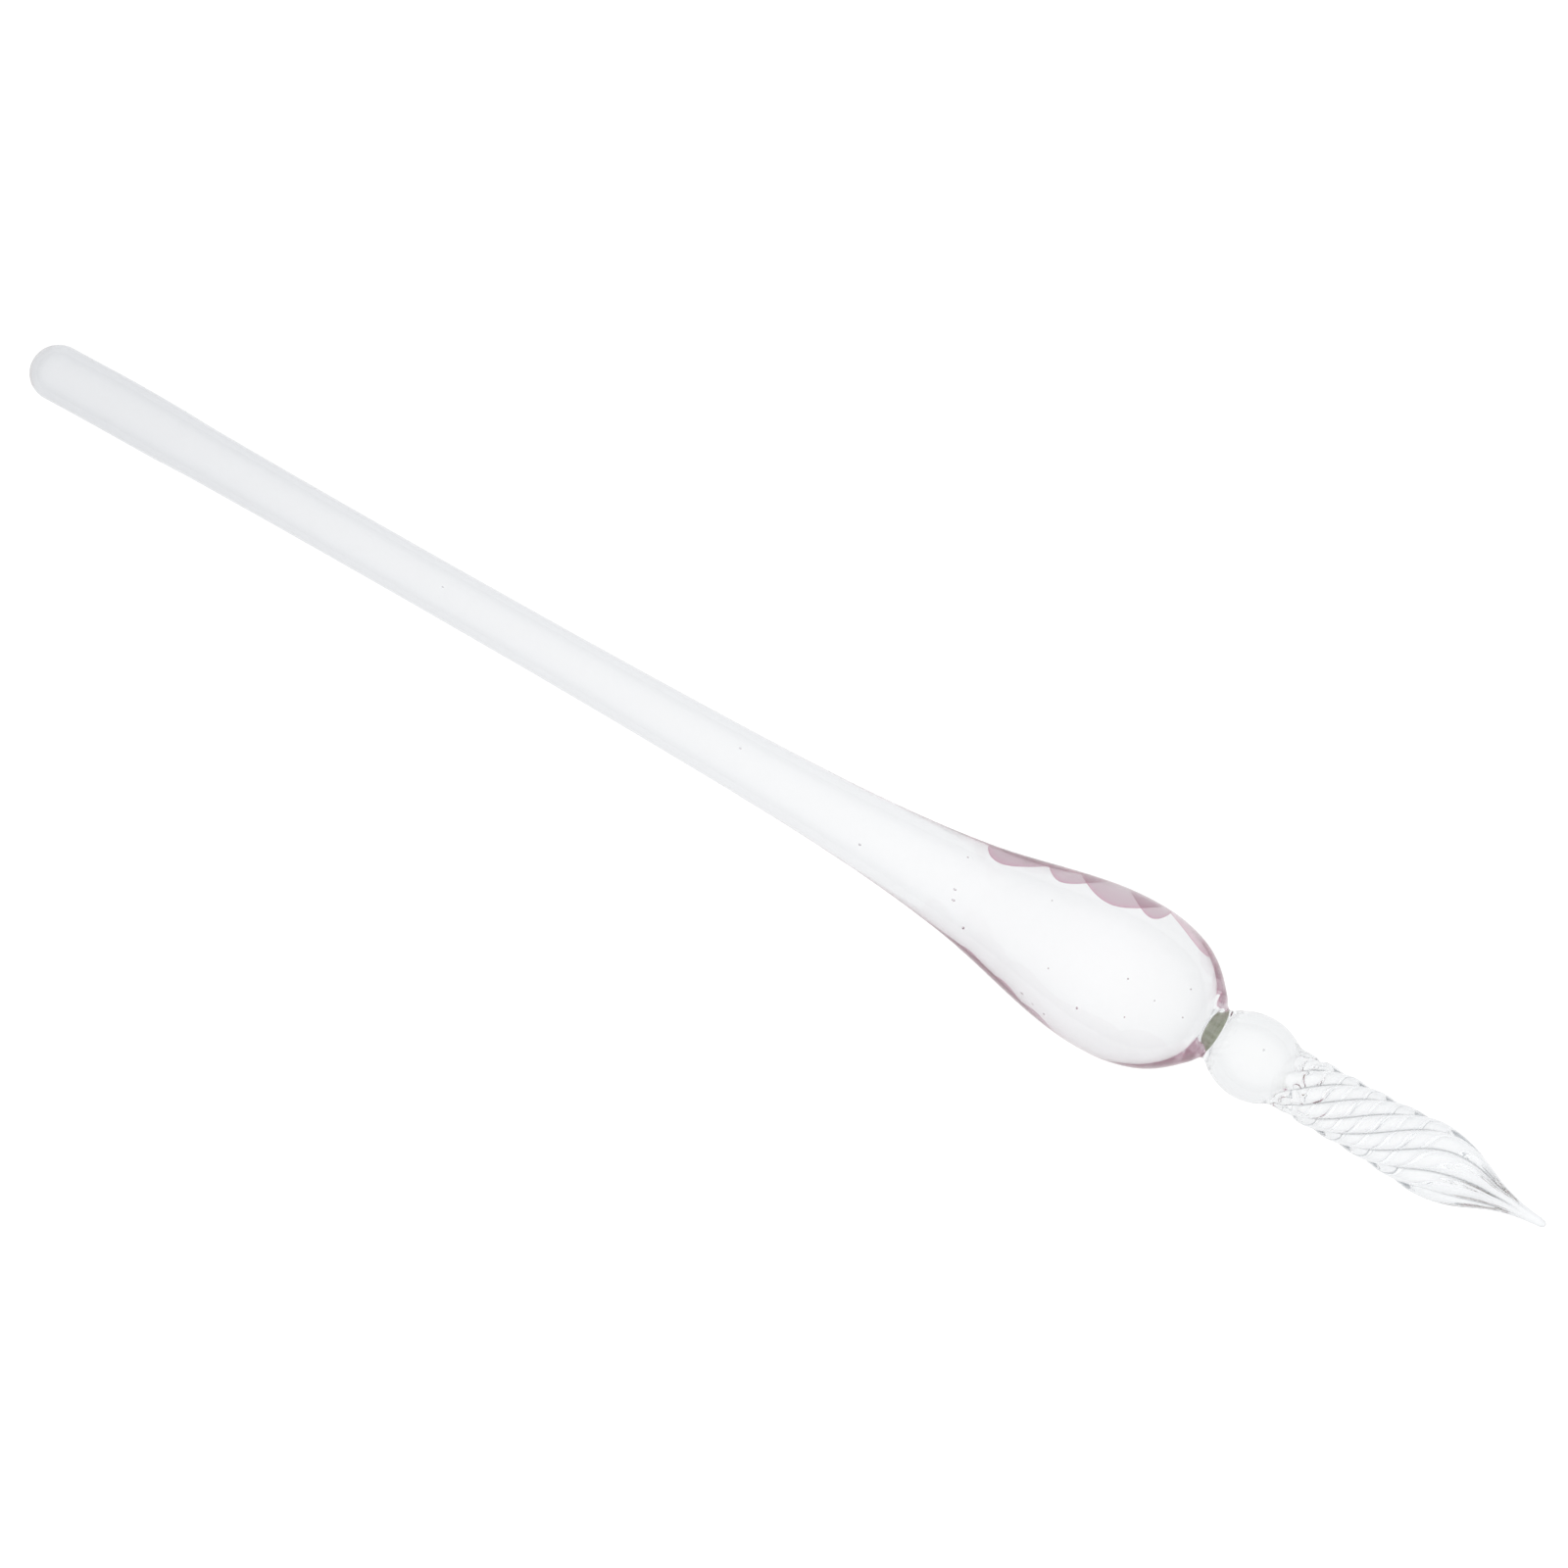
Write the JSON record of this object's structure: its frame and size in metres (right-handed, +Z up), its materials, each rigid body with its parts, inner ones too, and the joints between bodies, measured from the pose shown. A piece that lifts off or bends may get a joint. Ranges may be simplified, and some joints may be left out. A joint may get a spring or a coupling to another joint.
{
  "type": "glass dip pen",
  "caption": "Clear fused-glass dip pen: slim round handle, teardrop grip with an encased pink glass flower, joint ball and a twisted, fluted nib.",
  "frame": {"origin": "on the table, under the middle of the pen as it lies on its side", "axes": "+X runs along the pen towards the writing point, +Z is up from the table, +Y is across the pen. The pen rests on the grip's belly and on the handle's end, so its own axis rises by 2.5 degrees towards the nib."},
  "size_m": [0.1798, 0.0172, 0.0171],
  "materials": {
    "clear_glass": "fire-polished clear glass",
    "pink_glass": "translucent pink glass",
    "green_glass": "translucent olive green glass"
  },
  "bodies": {
    "root": {"handle_end": "clear_glass", "handle_rod": "clear_glass", "grip_core": "clear_glass", "grip_casing": "clear_glass", "petal_01": "pink_glass", "petal_02": "pink_glass", "petal_03": "pink_glass", "petal_04": "pink_glass", "petal_05": "pink_glass", "petal_06": "pink_glass", "petal_07": "pink_glass", "petal_08": "pink_glass", "petal_09": "pink_glass", "petal_10": "pink_glass", "petal_11": "pink_glass", "petal_12": "pink_glass", "petal_13": "pink_glass", "petal_14": "pink_glass", "calyx": "green_glass", "neck": "clear_glass", "ball": "clear_glass", "nib_core": "clear_glass", "nib_strand_1": "clear_glass", "nib_strand_2": "clear_glass", "nib_strand_3": "clear_glass", "nib_strand_4": "clear_glass", "nib_strand_5": "clear_glass", "nib_strand_6": "clear_glass", "nib_strand_7": "clear_glass", "nib_strand_8": "clear_glass", "writing_point": "clear_glass"}
  },
  "joints": []
}
